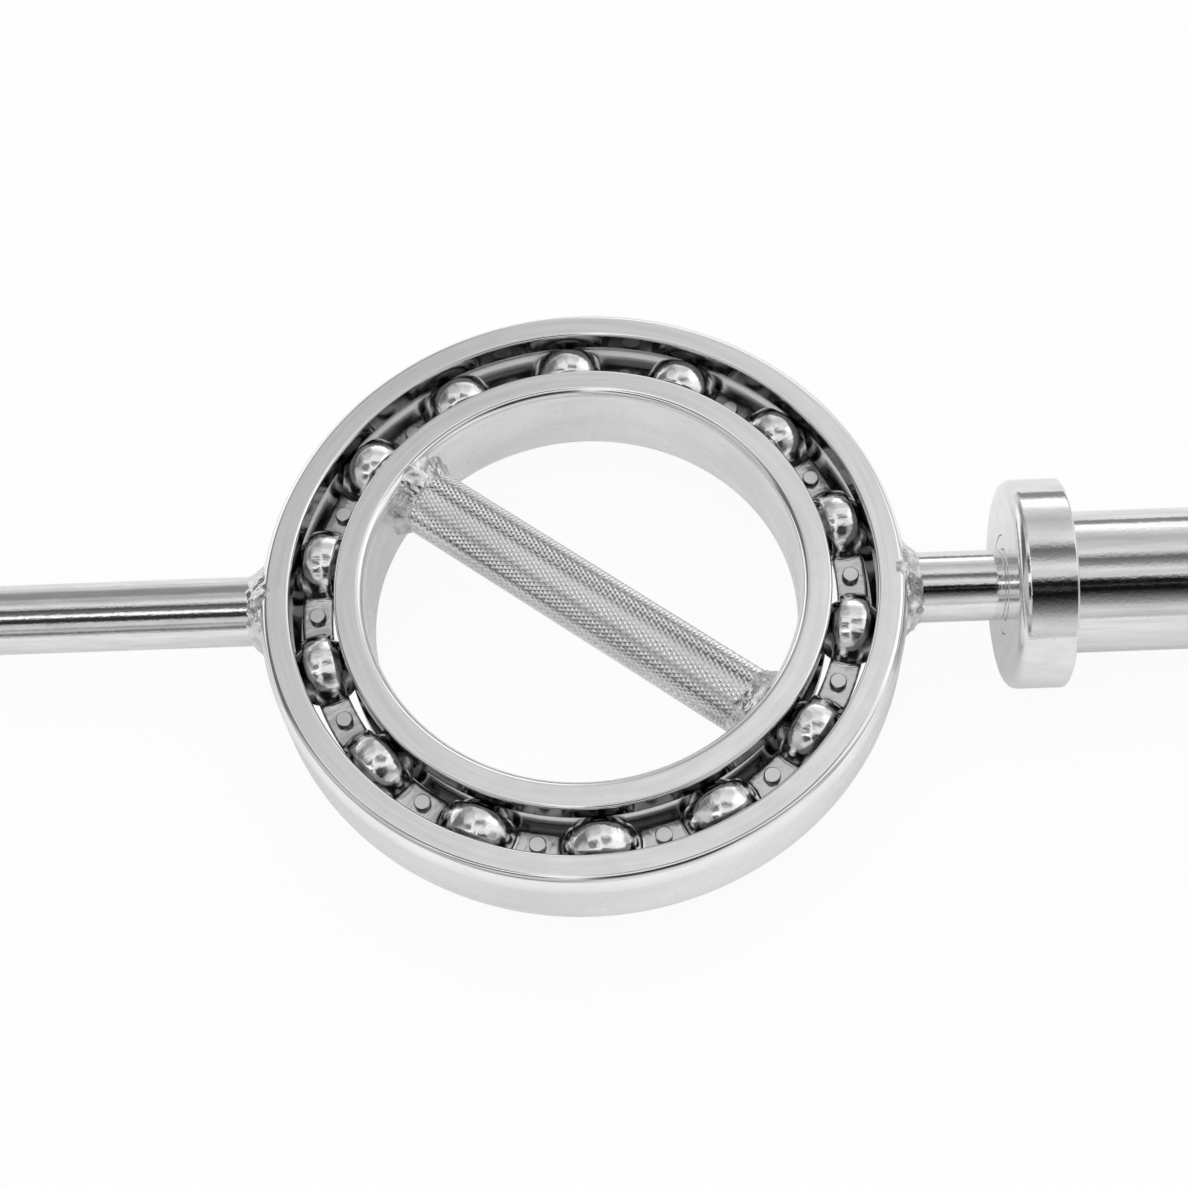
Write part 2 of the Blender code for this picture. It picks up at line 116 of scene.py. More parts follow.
# Welds: how far each one climbs the wall and runs along the bar
SHAFT_WELD_LEG = 4.9 * MM
SHAFT_WELD_RUN = 4.8 * MM
GRIP_WELD_LEG = 4.8 * MM
GRIP_WELD_RUN = 6.6 * MM
WELD_OVERLAP = 0.6 * MM
WELD_HOLLOW = 1.15

# A weld's swellings, lumps and ripples, each with its height and size, and how its toe wanders
WELD_SWELL = 1.2 * MM
WELD_SWELL_SIZE = 5.5 * MM
WELD_LUMPS = 0.75 * MM
WELD_LUMP_SIZE = 2.6 * MM
WELD_LUMP_RISE = 1.6
WELD_LUMP_EDGE = 1.5
WELD_RIPPLES = 0.35 * MM
WELD_RIPPLE_SIZE = 1.3 * MM
WELD_TOE_WANDER = 1.1 * MM
WELD_TOE_SIZE = 3.0 * MM
WELD_TOE_CALM = 0.6

# Patches of a weld that are rough or smooth: their size, how rough most are, and how much they differ
WELD_PATCH_SIZE = 11.0 * MM
WELD_PATCH_MIDDLE = 0.6
WELD_PATCH_CONTRAST = 1.6
WELD_PATCH_LEAST = 0.1

# Collar and the bush in it. Starts, ends and seats are distances from the ring's centre.
STUB_LENGTH = 34.4 * MM
COLLAR_THICKNESS = 19.8 * MM
COLLAR_LIP = 6.0 * MM
COLLAR_START = RING_R + STUB_LENGTH
COLLAR_SEAT = COLLAR_START + COLLAR_LIP
COLLAR_END = COLLAR_START + COLLAR_THICKNESS
COLLAR_R = 37.0 * MM
COLLAR_INNER_ROUND = 4.0 * MM
COLLAR_OUTER_ROUND = 1.0 * MM
FILLET_R = 1.2 * MM
BUSH_WALL = 5.0 * MM
BUSH_R = SHAFT_R + BUSH_WALL
BUSH_BORE_R = SHAFT_R + RUN_GAP
BUSH_MOUTH = 0.8 * MM
BUSH_START = COLLAR_START + 0.2 * MM
BUSH_END = COLLAR_START + 45.8 * MM
COLLAR_BORE_R = BUSH_R + RUN_GAP

# Sleeve and its end cap
SLEEVE_LOAD_LENGTH = 320.0 * MM
SLEEVE_START = COLLAR_SEAT + FIT_GAP
SLEEVE_END = COLLAR_END + SLEEVE_LOAD_LENGTH
SLEEVE_R = 25.0 * MM
SLEEVE_SEAT_R = SLEEVE_R + FIT_GAP
SLEEVE_BORE_R = BUSH_R + FIT_GAP
SLEEVE_EASE = 1.5 * MM
CAP_RECESS = 1.0 * MM
CAP_THICKNESS = 8.0 * MM
CAP_END = SLEEVE_END - CAP_RECESS
CAP_START = CAP_END - CAP_THICKNESS
CAP_RIM = 3.0 * MM
CAP_DISH = 1.5 * MM

# Thin end of the bar inside the sleeve, with the groove for the retaining ring
JOURNAL_STEP = 2.5 * MM
JOURNAL_R = SHAFT_R - JOURNAL_STEP
CLIP_GROOVE_DEPTH = 1.0 * MM
CLIP_GROOVE_WIDTH = 2.1 * MM
CLIP_GROOVE_SETBACK = 6.0 * MM
CLIP_GROOVE_R = JOURNAL_R - CLIP_GROOVE_DEPTH
CLIP_GROOVE_END = CAP_START - CLIP_GROOVE_SETBACK
CLIP_GROOVE_START = CLIP_GROOVE_END - CLIP_GROOVE_WIDTH

# Small roundings of the bores, the sleeve's end and the cap
BORE_EASE = 0.2 * MM
END_EASE = 0.3 * MM
CAP_EASE = 0.4 * MM

# Steps of turned pieces, and the short holds beside an eased corner that keep the sides flat
RING_STEPS = 192
SLEEVE_STEPS = 128
BAR_STEPS = 96
RIVET_STEPS = 24
EASE_STEPS = 8
EASE_HOLD = 0.06 * MM
GROOVE_STEPS = 20
WELD_STEPS = 280
WELD_RUN_STEPS = 28
BALL_CUTS = 13

# Steps of the cage strip, across it and along a pocket's dome, its bend and the land beside it
STRIP_COLUMNS = 8
DOME_STEPS = 14
BEND_STEPS = 5
LAND_STEPS = 3
POCKET_TRIES = 4

# Edges sharper than this stay sharp, and points closer than TINY are one point
SHARP = math.radians(28.0)
TINY = 1e-7

# Floor just under the collars, and how much of its white the eye and the metal see as light
FLOOR_Z = -COLLAR_R - 0.05 * MM
FLOOR_SIZE = 12.0
FLOOR_GLOW_TO_EYE = 0.93
FLOOR_GLOW_IN_METAL = 0.20
FLOOR_WHITE = 0.94
FLOOR_GRAIN = 0.01

# Soft lamp at the ceiling, which gives the bar its shadow
LAMP_STRENGTH = 1.2
LAMP_BREADTH = math.radians(100)
LAMP_TURN = (math.radians(-12), math.radians(-10), 0)

# Camera that stands where the photograph was taken from
CAMERA_PLACE = Vector((306.96, -333.22, 621.01)) * MM
CAMERA_LOOKS_AT = Vector((283.56, 2.12, 0.0)) * MM
CAMERA_ROLL = math.radians(-5.567)
CAMERA_LENS = 59.92
CAMERA_SENSOR = 36.0
CAMERA_NEAR = 0.01
CAMERA_FAR = 100.0

# Noise stays mostly between these two values
NOISE_LOW = 0.3
NOISE_HIGH = 0.7

# Every metal's cleanest spots against its grey, and how large and how different its hazy patches are
CLEANEST = 1.03
HAZE_SCALE = 120.0
HAZE_SPREAD = 0.15


def body_of(node):
    """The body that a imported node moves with."""
    for body, members in frame["record"]["behaviour"]["bodies"].items():
        if node in members:
            return body
    raise KeyError(node)


# Shapes


def eased(corners):
    """Outline of (along, radius, rounding) corners, with an arc at each corner that has a rounding.

    A rounding may be two lengths, one for each side. Short holds beside it keep flat sides flat.
    """
    points = []
    for number, (along, radius, rounding) in enumerate(corners):
        corner = Vector((along, radius))
        if rounding == 0:
            points.append(corner)
            continue
        back, on = rounding if isinstance(rounding, tuple) else (rounding, rounding)
        before = (Vector(corners[number - 1][:2]) - corner).normalized()
        after = (Vector(corners[(number + 1) % len(corners)][:2]) - corner).normalized()
        points.append(corner + before * (back + EASE_HOLD))
        for step in range(EASE_STEPS + 1):
            turn = math.pi / 2 * step / EASE_STEPS
            points.append(corner + before * back * (1 - math.sin(turn)) + after * on * (1 - math.cos(turn)))
        points.append(corner + after * (on + EASE_HOLD))
    return points


def arc(centre, radius, start, end, steps):
    """Points on an arc in the (along, radius) plane, both ends included."""
    points = []
    for step in range(steps + 1):
        angle = start + (end - start) * step / steps
        points.append(Vector((centre[0] + radius * math.cos(angle), centre[1] + radius * math.sin(angle))))
    return points


def turned(outline, steps):
    """Solid of revolution about Z. An outline that starts and ends on the axis stays open there."""
    bm = bmesh.new()
    corners = [bm.verts.new((radius, 0, along)) for along, radius in outline]
    for first, second in zip(corners, corners[1:]):
        bm.edges.new((first, second))
    if outline[0][1] > 0 and outline[-1][1] > 0:
        bm.edges.new((corners[-1], corners[0]))
    geom = list(bm.verts) + list(bm.edges)
    bmesh.ops.spin(bm, geom=geom, axis=(0, 0, 1), angle=2 * math.pi, steps=steps, use_merge=True)
    bmesh.ops.remove_doubles(bm, verts=bm.verts, dist=TINY)
    bmesh.ops.recalc_face_normals(bm, faces=bm.faces)
    return bm


def piece(name, bm, place, finishes, body, stands_for=()):
    """Puts a shape in its place and makes it a piece of the object, in one or more finishes."""
    bm.transform(place)
    mesh = bpy.data.meshes.new(name)
    bm.to_mesh(mesh)
    bm.free()
    for finish in finishes:
        mesh.materials.append(finish)
    mesh.shade_smooth()
    mesh.set_sharp_from_angle(angle=SHARP)
    obj = bpy.data.objects.new(name, mesh)
    bpy.context.scene.collection.objects.link(obj)
    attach(obj, body)
    if stands_for:
        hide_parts(*stands_for)
    return obj


def ring_place(side):
    return Matrix.Translation(ring_centre(side))


def ring_centre(side):
    low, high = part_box(f"{side}_bearing_outer_ring")
    return Vector(((low.x + high.x) / 2, 0, 0))


def reach_from_ring(node, which_end):
    """Distance along the bar from the ring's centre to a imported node's nearest (min) or far (max) end."""
    low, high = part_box(node)
    return which_end(abs(low.x), abs(high.x)) - ring_centre("right").x


def cage_place(side):
    """The left cage is the right one's mirror image, so its first rivet is on the ring's other side."""
    turn = FIRST_RIVET if SIDES[side] > 0 else math.pi - FIRST_RIVET
    return ring_place(side) @ Matrix.Rotation(turn, 4, "Z")


def sleeve_place(side):
    """Turns a piece's own Z axis to point out along the bar."""
    return ring_place(side) @ Matrix.Rotation(SIDES[side] * math.pi / 2, 4, "Y")


def grip_place(side):
    turn = Matrix.Rotation(SIDES[side] * GRIP_ANGLE, 4, "Z")
    return ring_place(side) @ turn @ Matrix.Rotation(math.pi / 2, 4, "Y")


# Finishes


def add(tree, kind, links=(), **settings):
    """One node, with its settings and the sockets that feed its inputs."""
    node = tree.nodes.new(kind)
    for setting, value in settings.items():
        setattr(node, setting, value)
    for socket, source in dict(links).items():
        if hasattr(source, "is_output"):
            tree.links.new(source, node.inputs[socket])
        else:
            node.inputs[socket].default_value = source
    return node


def object_place(tree):
    return add(tree, "ShaderNodeTexCoord").outputs["Object"]


def stretched(tree, vector, scale):
    return add(tree, "ShaderNodeMapping", {"Vector": vector, "Scale": scale}).outputs["Vector"]


def spread(tree, value, low, high):
    """Maps a noise onto a range."""
    links = {"Value": value, "From Min": NOISE_LOW, "From Max": NOISE_HIGH, "To Min": low, "To Max": high}
    return add(tree, "ShaderNodeMapRange", links).outputs["Result"]


def clouds(tree, vector, scale, detail=2.0, roughness=0.5):
    links = {"Vector": vector, "Scale": scale, "Detail": detail, "Roughness": roughness}
    return add(tree, "ShaderNodeTexNoise", links).outputs["Fac"]


def from_ring_axis(tree):
    """Place measured from the axis of the ring on that side: across, towards the back, and height."""
    parts = add(tree, "ShaderNodeSeparateXYZ", {"Vector": object_place(tree)})
    aside = add(tree, "ShaderNodeMath", {0: parts.outputs["X"]}, operation="ABSOLUTE")
    links = {0: aside.outputs[0], 1: ring_centre("right").x}
    across = add(tree, "ShaderNodeMath", links, operation="SUBTRACT")
    return across.outputs[0], parts.outputs["Y"], parts.outputs["Z"]


def from_middle(tree, first, second):
    """Distance from an axis, from the two places square to it."""
    flat = add(tree, "ShaderNodeCombineXYZ", {"X": first, "Y": second})
    return add(tree, "ShaderNodeVectorMath", {0: flat.outputs[0]}, operation="LENGTH").outputs["Value"]


def round_the_ring(tree):
    """Distance from the ring's axis and height, for marks left by turning and grinding a ring."""
    across, back, height = from_ring_axis(tree)
    links = {"X": from_middle(tree, across, back), "Y": height}
    return add(tree, "ShaderNodeCombineXYZ", links).outputs[0]


def along_the_ring(tree):
    """Way round the ring at its ball circle, distance from its axis and height."""
    across, back, height = from_ring_axis(tree)
    turn = add(tree, "ShaderNodeMath", {0: back, 1: across}, operation="ARCTAN2")
    way = add(tree, "ShaderNodeMath", {0: turn.outputs[0], 1: PITCH_R}, operation="MULTIPLY")
    links = {"X": way.outputs[0], "Y": from_middle(tree, across, back), "Z": height}
    return add(tree, "ShaderNodeCombineXYZ", links).outputs[0]


def round_the_bar(tree):
    """Place along the bar and distance from its axis, for marks left by turning a sleeve or a collar."""
    parts = add(tree, "ShaderNodeSeparateXYZ", {"Vector": object_place(tree)})
    reach = from_middle(tree, parts.outputs["Y"], parts.outputs["Z"])
    return add(tree, "ShaderNodeCombineXYZ", {"X": parts.outputs["X"], "Y": reach}).outputs[0]


def metal(name, slot, grey, roughness, marks=object_place, mark_scale=(1, 1, 1), mark_depth=0.0,
          pits=0.0, pit_scale=1300.0, waves=0.0, wave_scale=150.0, tint=(1.0, 1.0, 1.0),
          streaks=object_place, streak_scale=(45, 45, 45), stained=0.94):
    """A metal with faint stains or streaks, uneven polish, tool marks, fine pits and soft waves.

    Marks and streaks run the way their scales are smallest. Stained is the grey of a stain, as a share of
    the clean metal's. Depths are in metres. Scales are in marks, streaks, pits or waves per metre.
    """
    material = bpy.data.materials.new(name)
    material["slot"] = slot
    material.use_nodes = True
    tree = material.node_tree
    shader = tree.nodes["Principled BSDF"]
    shader.inputs["Metallic"].default_value = 1.0
    place = object_place(tree)

    stains = clouds(tree, stretched(tree, streaks(tree), streak_scale), 1.0, 3.0, 0.5)
    colour = add(tree, "ShaderNodeMix", {"Factor": spread(tree, stains, 0.0, 1.0)}, data_type="RGBA")
    for socket, share in (("A", stained), ("B", CLEANEST)):
        colour.inputs[socket].default_value = [min(1.0, grey * share * channel) for channel in tint] + [1.0]
    tree.links.new(colour.outputs["Result"], shader.inputs["Base Color"])

    haze = spread(tree, clouds(tree, place, HAZE_SCALE, 3.0, 0.5),
                  roughness * (1 - HAZE_SPREAD), roughness * (1 + HAZE_SPREAD))
    tree.links.new(haze, shader.inputs["Roughness"])

    normal = None
    if waves > 0:
        swell = clouds(tree, place, wave_scale, 1.5, 0.4)
        normal = bumped(tree, swell, waves, normal)
    if mark_depth > 0:
        lines = clouds(tree, stretched(tree, marks(tree), mark_scale), 1.0, 2.0, 0.5)
        normal = bumped(tree, lines, mark_depth, normal)
    if pits > 0:
        specks = clouds(tree, place, pit_scale, 2.0, 0.6)
        normal = bumped(tree, specks, pits, normal)
    if normal:
        tree.links.new(normal, shader.inputs["Normal"])
    return material


def bumped(tree, height, depth, normal):
    links = {"Height": height, "Distance": depth, "Strength": 1.0}
    if normal:
        links["Normal"] = normal
    return add(tree, "ShaderNodeBump", links).outputs["Normal"]


def painted_shade_by_height(material, low, high, flat, raised, flat_roughness, raised_roughness):
    """Paints shade by height: what is far above or below the ring's middle plane gets another painted shade,
    and another polish.
    """
    tree = material.node_tree
    shader = tree.nodes["Principled BSDF"]
    height = add(tree, "ShaderNodeSeparateXYZ", {"Vector": object_place(tree)}).outputs["Z"]
    above = add(tree, "ShaderNodeMath", {0: height}, operation="ABSOLUTE")
    links = {"Value": above.outputs[0], "From Min": low, "From Max": high}
    share = add(tree, "ShaderNodeMapRange", links, interpolation_type="SMOOTHSTEP").outputs["Result"]
    stains = shader.inputs["Base Color"].links[0].from_socket
    # The painted shade for this height, which darkens the metal's own stained colour
    shade = add(tree, "ShaderNodeMapRange", {"Value": share, "To Min": flat, "To Max": raised})
    colour = add(tree, "ShaderNodeVectorMath", {0: stains, 1: shade.outputs["Result"]}, operation="MULTIPLY")
    tree.links.new(colour.outputs["Vector"], shader.inputs["Base Color"])
    haze = shader.inputs["Roughness"].links[0].from_socket
    links = {"Value": share, "To Min": flat_roughness, "To Max": raised_roughness}
    rough = add(tree, "ShaderNodeMapRange", links)
    both = add(tree, "ShaderNodeMath", {0: haze, 1: rough.outputs["Result"]}, operation="MULTIPLY")
    tree.links.new(both.outputs[0], shader.inputs["Roughness"])


def make_finishes():
    """Every metal of the object, by a name of its own."""
    ring_lines = {"marks": round_the_ring, "mark_scale": (2600, 2600, 1)}
    turned_lines = {"marks": round_the_bar, "mark_scale": (1900, 1900, 1)}
    drawn_lines = {"mark_scale": (40, 1300, 1300)}
    strip = metal("pressed_strip_steel_painted_shade", "cage_steel", 0.95, 1.0, pits=0.000006, waves=0.00017,
                  wave_scale=260.0, marks=along_the_ring, mark_scale=(380, 130, 130), mark_depth=0.00022)
    # Painted shade: the strip's flat lands, low between the rings, are painted darker than its raised pocket
    # domes.
    painted_shade_by_height(strip, 2.2 * MM, 6.0 * MM, 0.72, 1.0, 0.19, 0.16)
    race = metal("ball_track_steel_painted_shade", "ring_steel", 0.85, 1.0, mark_depth=0.000002, waves=0.00002,
                 **ring_lines)
    # Painted shade: the ball track is painted darker towards its shoulders, away from the ring's middle
    # plane, in the gap between the rings.
    painted_shade_by_height(race, 2.5 * MM, 7.0 * MM, 1.0, 0.25, 0.20, 0.14)
    rivet = metal("rivet_steel", "cage_steel", 0.80, 1.0, pits=0.000006)
    # Painted shade: each rivet head's side, below its top, is painted nearly black; the top stays light.
    painted_shade_by_height(rivet, 3.20 * MM, 3.60 * MM, 0.10, 0.95, 0.22, 0.24)
    return {
        "ground_ring": metal("ground_ring_steel", "ring_steel", 0.95, 0.26, mark_depth=0.000004,
                             pits=0.000003, pit_scale=700.0, waves=0.00001, streaks=along_the_ring,
                             streak_scale=(22, 420, 60), stained=0.89, **ring_lines),
        "ring_edge": metal("polished_edge_steel", "ring_steel", 0.95, 0.13, mark_depth=0.000003,
                           pits=0.000003, pit_scale=700.0, **ring_lines),
        "race": race,
        "ball": metal("mirror_ball_steel", "ball_steel", 0.50, 0.06, waves=0.000004),
        "strip": strip,
        "rivet": rivet,
        "bar": metal("drawn_bar_chrome", "shaft_chrome", 0.84, 0.045, mark_depth=0.000006, pits=0.00003,
                     pit_scale=900.0, waves=0.00001, streak_scale=(60, 500, 500), stained=0.86,
                     **drawn_lines),
        "weld": metal("plated_weld_chrome", "shaft_chrome", 0.88, 0.16, pits=0.00012, pit_scale=1100.0,
                      waves=0.00016, wave_scale=450.0, streak_scale=(260, 260, 260), stained=0.6),
        "knurl": metal("knurled_chrome", "knurled_chrome", 0.90, 0.16, pits=0.000008),
        "sleeve": metal("sleeve_chrome", "sleeve_chrome", 0.84, 0.07, mark_depth=0.000012, pits=0.00003,
                        pit_scale=800.0, waves=0.000015, streak_scale=(30, 420, 420), stained=0.84,
                        mark_scale=(22, 900, 900)),
        "collar": metal("collar_chrome", "collar_chrome", 0.86, 0.07, mark_depth=0.000008, pits=0.00003,
                        pit_scale=900.0, waves=0.00003, streak_scale=(60, 160, 160), stained=0.88,
                        **turned_lines),
        "bush": metal("turned_bush_steel", "bush_steel", 0.84, 0.15, mark_depth=0.000006, **turned_lines),
        "bronze": metal("oiled_bronze", "bush_bronze", 0.5, 0.35, mark_depth=0.00001, pits=0.00002,
                        tint=(1.1, 0.72, 0.32), **turned_lines),
        "washer": metal("ground_washer_steel", "washer_steel", 0.6, 0.3, mark_depth=0.000006,
                        **turned_lines),
        "spring": metal("oiled_spring_steel", "spring_steel", 0.25, 0.35, pits=0.00001),
        "cap": metal("cap_chrome", "cap_chrome", 0.86, 0.10, mark_depth=0.000005, **turned_lines),
    }


# Ring bearing


def sort_ring_faces(bm, wall_r):
    """Flat sides and the outer or bore wall are ground, rounded edges polished, and the race is darker, with
    painted shade towards its shoulders.
    """
    for face in bm.faces:
        middle = face.calc_center_median()
        from_pitch = abs(math.hypot(middle.x, middle.y) - PITCH_R)
        flat_side = abs(face.normal.z) > FACES_UP
        upright = abs(face.normal.z) < FACES_ASIDE
        wall = abs(from_pitch - abs(wall_r - PITCH_R)) < WALL_MARGIN and upright
        edge = abs(middle.z) > HALF_WIDTH - SHOULDER_ROUND or from_pitch > GROOVE_R
        face.material_index = GROUND if flat_side or wall else POLISHED if edge else TRACK


def outer_ring(side, finishes):
    shoulder = PITCH_R + SHOULDER_GAP / 2
    reach = math.acos(SHOULDER_GAP / 2 / GROOVE_R)
    sides = eased([
        (-HALF_WIDTH, shoulder, SHOULDER_ROUND),
        (-HALF_WIDTH, RING_R, (RIM_BREADTH, RIM_DEPTH)),
        (HALF_WIDTH, RING_R, (RIM_DEPTH, RIM_BREADTH)),
        (HALF_WIDTH, shoulder, SHOULDER_ROUND),
    ])
    race = arc((0, PITCH_R), GROOVE_R, math.pi / 2 - reach, math.pi / 2 + reach, GROOVE_STEPS)
    bm = turned(sides + race, RING_STEPS)
    sort_ring_faces(bm, RING_R)
    node = f"{side}_bearing_outer_ring"
    metals = [finishes[finish] for finish in RING_FINISHES]
    piece(f"{side}_outer_race", bm, ring_place(side), metals, body_of(node), [node])


def inner_ring(side, finishes):
    shoulder = PITCH_R - SHOULDER_GAP / 2
    reach = math.acos(SHOULDER_GAP / 2 / GROOVE_R)
    sides = eased([
        (HALF_WIDTH, shoulder, SHOULDER_ROUND),
        (HALF_WIDTH, BORE_R, (BORE_BREADTH, BORE_DEPTH)),
        (-HALF_WIDTH, BORE_R, (BORE_DEPTH, BORE_BREADTH)),
        (-HALF_WIDTH, shoulder, SHOULDER_ROUND),
    ])
    race = arc((0, PITCH_R), GROOVE_R, -math.pi / 2 - reach, -math.pi / 2 + reach, GROOVE_STEPS)
    bm = turned(sides + race, RING_STEPS)
    sort_ring_faces(bm, BORE_R)
    node = f"{side}_bearing_inner_ring"
    metals = [finishes[finish] for finish in RING_FINISHES]
    piece(f"{side}_inner_race", bm, ring_place(side), metals, body_of(node), [node])


def balls(side, finishes):
    """Each ball is a cube cut fine and rounded, so that it has no poles."""
    for number in range(1, BALL_COUNT + 1):
        bm = bmesh.new()
        bmesh.ops.create_cube(bm, size=2 * BALL_R)
        bmesh.ops.subdivide_edges(bm, edges=bm.edges, cuts=BALL_CUTS, use_grid_fill=True)
        for vert in bm.verts:
            vert.co = vert.co.normalized() * BALL_R
        node = f"{side}_ball_{number:02d}"
        low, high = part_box(node)
        place = Matrix.Translation((low + high) / 2)
        piece(f"{side}_polished_ball_{number:02d}", bm, place, [finishes["ball"]], body_of(node), [node])


def pocket_path(offset):
    """Half of the pressed strip's upper side over a ball, at this offset from the ball circle.

    Goes from the crown down to the middle of the land, as (turn about the ring's axis, height) pairs.
    The dome is round in every direction, so its reach at this offset is found in a few tries.
    """
    radius = PITCH_R + offset
    bend_height = STRIP_TOP + POCKET_BEND
    dome_r = POCKET_R
    for attempt in range(POCKET_TRIES):
        foot = math.sqrt((dome_r + POCKET_BEND) ** 2 - bend_height**2)
        inward = math.sqrt(radius**2 - min(foot, dome_r) ** 2) - PITCH_R
        dome_r = math.sqrt(POCKET_R**2 - inward**2)
    lowest = math.atan2(bend_height, foot)
    path = []
    for step in range(DOME_STEPS):
        rise = math.pi / 2 + (lowest - math.pi / 2) * step / DOME_STEPS
        reach = dome_r
        for attempt in range(POCKET_TRIES):
            aside = reach * math.cos(rise)
            inward = math.sqrt(radius**2 - aside**2) - PITCH_R
            reach = math.sqrt(POCKET_R**2 - inward**2)
        path.append((reach * math.cos(rise), reach * math.sin(rise)))
    for step in range(BEND_STEPS):
        turn = math.pi + lowest + (math.pi / 2 - lowest) * step / BEND_STEPS
        path.append((foot + POCKET_BEND * math.cos(turn), bend_height + POCKET_BEND * math.sin(turn)))
    turns = [(math.asin(aside / radius), height) for aside, height in path]
    land = math.asin(foot / radius)
    for step in range(LAND_STEPS + 1):
        turns.append((land + (math.pi / BALL_COUNT - land) * step / LAND_STEPS, STRIP_TOP))
    return turns


def cage_strip(side, half, finishes):
    """Flat ring band, pressed into a pocket over each ball, then given its sheet thickness."""
    bm = bmesh.new()
    columns = []
    for column in range(STRIP_COLUMNS + 1):
        reach = STRIP_INSIDE + (STRIP_OUTSIDE - STRIP_INSIDE) * column / STRIP_COLUMNS
        columns.append(bm.verts.new((reach, 0, 0)))
    for first, second in zip(columns, columns[1:]):
        bm.edges.new((first, second))
    half_count = DOME_STEPS + BEND_STEPS + LAND_STEPS
    steps = 2 * half_count * BALL_COUNT
    geom = list(bm.verts) + list(bm.edges)
    bmesh.ops.spin(bm, geom=geom, axis=(0, 0, 1), angle=2 * math.pi, steps=steps, use_merge=True)
    paths = {}
    for vert in bm.verts:
        radius = math.hypot(vert.co.x, vert.co.y)
        key = round((radius - PITCH_R) / MM, 3)
        if key not in paths:
            paths[key] = pocket_path(radius - PITCH_R)
        place_round = round(math.atan2(vert.co.y, vert.co.x) / (2 * math.pi / steps)) % steps
        ball, step = divmod(place_round + half_count, 2 * half_count)
        step -= half_count
        turn, height = paths[key][abs(step)]
        angle = (2 * ball * half_count * 2 * math.pi / steps) + math.copysign(turn, step)
        vert.co = (radius * math.cos(angle), radius * math.sin(angle), height)
    bmesh.ops.recalc_face_normals(bm, faces=bm.faces)
    if sum(face.normal.z for face in bm.faces) < 0:
        bmesh.ops.reverse_faces(bm, faces=bm.faces)
    turn_over = Matrix.Rotation(math.pi, 4, "X") if half == "lower" else Matrix.Identity(4)
    to_ball = Matrix.Rotation(math.pi / BALL_COUNT, 4, "Z")
    node = f"{side}_cage_{half}"
    place = cage_place(side) @ turn_over @ to_ball
    obj = piece(f"{side}_{half}_strip", bm, place, [finishes["strip"]], body_of(node), [node])
    sheet = obj.modifiers.new("sheet_thickness", "SOLIDIFY")
    sheet.thickness = STRIP_THICKNESS
    sheet.offset = -1.0
    sheet.use_even_offset = True
    rim = obj.modifiers.new("eased_rim", "BEVEL")
    rim.width = STRIP_EASE
    rim.segments = 2
    rim.limit_method = "ANGLE"
    rim.angle_limit = STRIP_EASE_ANGLE


def rivets(side, finishes):
    """Fourteen rivets, each with a flat round head above and below."""
    outline = eased([
        (-RIVET_TOP, 0, 0),
        (-RIVET_TOP, RIVET_R, RIVET_ROUND),
        (-STRIP_TOP, RIVET_R, 0),
        (-STRIP_TOP, RIVET_SHANK_R, 0),
        (STRIP_TOP, RIVET_SHANK_R, 0),
        (STRIP_TOP, RIVET_R, 0),
        (RIVET_TOP, RIVET_R, RIVET_ROUND),
        (RIVET_TOP, 0, 0),
    ])
    bm = turned(outline, RIVET_STEPS)
    bmesh.ops.translate(bm, verts=bm.verts, vec=(PITCH_R, 0, 0))
    first = list(bm.verts) + list(bm.edges) + list(bm.faces)
    for number in range(1, BALL_COUNT):
        copied = bmesh.ops.duplicate(bm, geom=first)["geom"]
        verts = [item for item in copied if isinstance(item, bmesh.types.BMVert)]
        turn = Matrix.Rotation(number * 2 * math.pi / BALL_COUNT, 3, "Z")
        bmesh.ops.rotate(bm, verts=verts, cent=(0, 0, 0), matrix=turn)
    piece(f"{side}_cage_rivets", bm, cage_place(side), [finishes["rivet"]], body_of(f"{side}_cage_upper"))


# Bars and welds


def wall_drop(wall_r, aside):
    """How far a ring's round wall falls back at this distance to the side of a bar's axis."""
    return wall_r - math.sqrt(wall_r**2 - aside**2)


def corner_fall(height, breadth, depth):
    """How far a ring's rounded corner falls back from its wall at this height."""
    share = max(0.0, abs(height) - (HALF_WIDTH - depth)) / depth
    return breadth * (1 - math.sqrt(1 - min(1.0, share) ** 2))


def lump(spot):
    """Height of a weld's round lumps and the sharp valleys between them, from about -0.5 to 0.5."""
    from_middle = noise.voronoi(spot)[0][0]
    return 0.5 - min(1.0, from_middle**WELD_LUMP_EDGE * WELD_LUMP_RISE)


def roughness_at(spot, seed):
    """Some patches of a weld are rough, at 1, and others nearly smooth."""
    patch = noise.noise(spot / WELD_PATCH_SIZE + Vector((0, 0, seed)))
    return max(WELD_PATCH_LEAST, min(1.0, WELD_PATCH_MIDDLE + WELD_PATCH_CONTRAST * patch))


